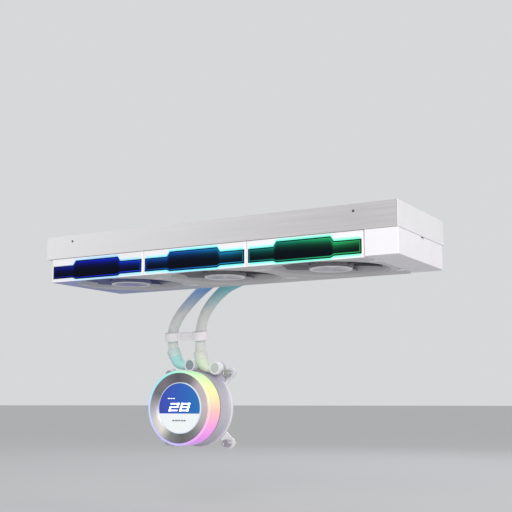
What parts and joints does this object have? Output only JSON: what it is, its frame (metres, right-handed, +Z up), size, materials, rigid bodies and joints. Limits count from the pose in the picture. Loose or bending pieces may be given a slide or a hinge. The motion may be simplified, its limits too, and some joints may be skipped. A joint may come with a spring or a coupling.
{
  "type": "liquid cooling radiator",
  "caption": "Closed-loop liquid cooler: a flat radiator with mirror-lit fans under it, sleeved hoses and a round pump head with a display, hung under a case top.",
  "frame": {"origin": "centre of the plane of the radiator's top flanges, where it is screwed up under a case top", "axes": "+X along the radiator towards its port end, +Y across it towards the mainboard, +Z up"},
  "size_m": [0.4, 0.18, 0.2265],
  "materials": {
    "white_plastic": "satin moulded white plastic",
    "white_paint": "white powder coat",
    "brushed_plate": "fine brushed lines along its length",
    "white_fins": "white coated fins and flat tubes",
    "blade_plastic": "pale smoked plastic",
    "spun_metal": "spun rings, polished",
    "dark_mirror": "half-silvered dark mirror",
    "circuit_board": "white board with light emitters",
    "motor_winding": "enamelled copper wire",
    "hose_sleeve": "braided pale sleeve over rubber",
    "light_diffuser": "frosted translucent ring",
    "display_glass": "clear cover over a colour display",
    "copper": "ground copper",
    "steel": "bright zinc plate",
    "dark_plastic": "black moulded plastic"
  },
  "bodies": {
    "cooler": {"back_plate": "brushed_plate", "back_rail": "white_paint", "bracket_spring_1": "steel", "bracket_spring_2": "steel", "bracket_spring_3": "steel", "bracket_spring_4": "steel", "cold_plate": "copper", "dished_bezel": "brushed_plate", "display_case": "dark_plastic", "display_panel": "display_glass", "end_cover": "white_plastic", "end_plate": "white_paint", "fan_1_frame": "white_plastic", "fan_1_light_board": "circuit_board", "fan_1_mirror": "dark_mirror", "fan_1_stator": "motor_winding", "fan_2_frame": "white_plastic", "fan_2_light_board": "circuit_board", "fan_2_mirror": "dark_mirror", "fan_2_stator": "motor_winding", "fan_3_frame": "white_plastic", "fan_3_light_board": "circuit_board", "fan_3_mirror": "dark_mirror", "fan_3_stator": "motor_winding", "fill_plug": "steel", "front_plate": "brushed_plate", "front_rail": "white_paint", "left_hose": "hose_sleeve", "left_pump_elbow": "white_plastic", "left_pump_ferrule": "white_plastic", "light_ring": "light_diffuser", "link_clip_1_back": "white_plastic", "link_clip_1_front": "white_plastic", "link_clip_2_back": "white_plastic", "link_clip_2_front": "white_plastic", "link_clip_3_back": "white_plastic", "link_clip_3_front": "white_plastic", "lower_radiator_elbow": "white_plastic", "mount_bracket": "white_paint", "port_tank": "white_paint", "pump_housing": "white_plastic", "pump_stator": "motor_winding", "radiator_core": "white_fins", "return_tank": "white_paint", "right_hose": "hose_sleeve", "right_pump_elbow": "white_plastic", "right_pump_ferrule": "white_plastic", "upper_radiator_elbow": "white_plastic"},
    "rotor_1": {"fan_1_rotor": "blade_plastic", "fan_1_hub_disc": "spun_metal"},
    "rotor_2": {"fan_2_rotor": "blade_plastic", "fan_2_hub_disc": "spun_metal"},
    "rotor_3": {"fan_3_rotor": "blade_plastic", "fan_3_hub_disc": "spun_metal"},
    "impeller": {"pump_impeller": "dark_plastic"},
    "screw_1": {"bracket_screw_1": "steel"},
    "screw_2": {"bracket_screw_2": "steel"},
    "screw_3": {"bracket_screw_3": "steel"},
    "screw_4": {"bracket_screw_4": "steel"},
    "clip": {"hose_clip": "white_plastic"}
  },
  "joints": [
    {"name": "fan_1_spin", "type": "hinge", "parent": "cooler", "child": "rotor_1", "pos_m": [-0.133, 0, -0.038], "axis": [0, 0, 1], "continuous": true},
    {"name": "fan_2_spin", "type": "hinge", "parent": "cooler", "child": "rotor_2", "pos_m": [-0.013, 0, -0.038], "axis": [0, 0, 1], "continuous": true},
    {"name": "fan_3_spin", "type": "hinge", "parent": "cooler", "child": "rotor_3", "pos_m": [0.107, 0, -0.038], "axis": [0, 0, 1], "continuous": true},
    {"name": "impeller_spin", "type": "hinge", "parent": "cooler", "child": "impeller", "pos_m": [-0.11, 0.099, -0.181], "axis": [0, 1, 0], "continuous": true},
    {"name": "screw_1_slide", "type": "slide", "parent": "cooler", "child": "screw_1", "axis": [0, -1, 0], "range_m": [0, 0.004]},
    {"name": "screw_2_slide", "type": "slide", "parent": "cooler", "child": "screw_2", "axis": [0, -1, 0], "range_m": [0, 0.004]},
    {"name": "screw_3_slide", "type": "slide", "parent": "cooler", "child": "screw_3", "axis": [0, -1, 0], "range_m": [0, 0.004]},
    {"name": "screw_4_slide", "type": "slide", "parent": "cooler", "child": "screw_4", "axis": [0, -1, 0], "range_m": [0, 0.004]},
    {"name": "hose_clip_slide", "type": "slide", "parent": "cooler", "child": "clip", "axis": [0, -0.2111, 0.9775], "range_m": [-0.002, 0.0005]}
  ]
}
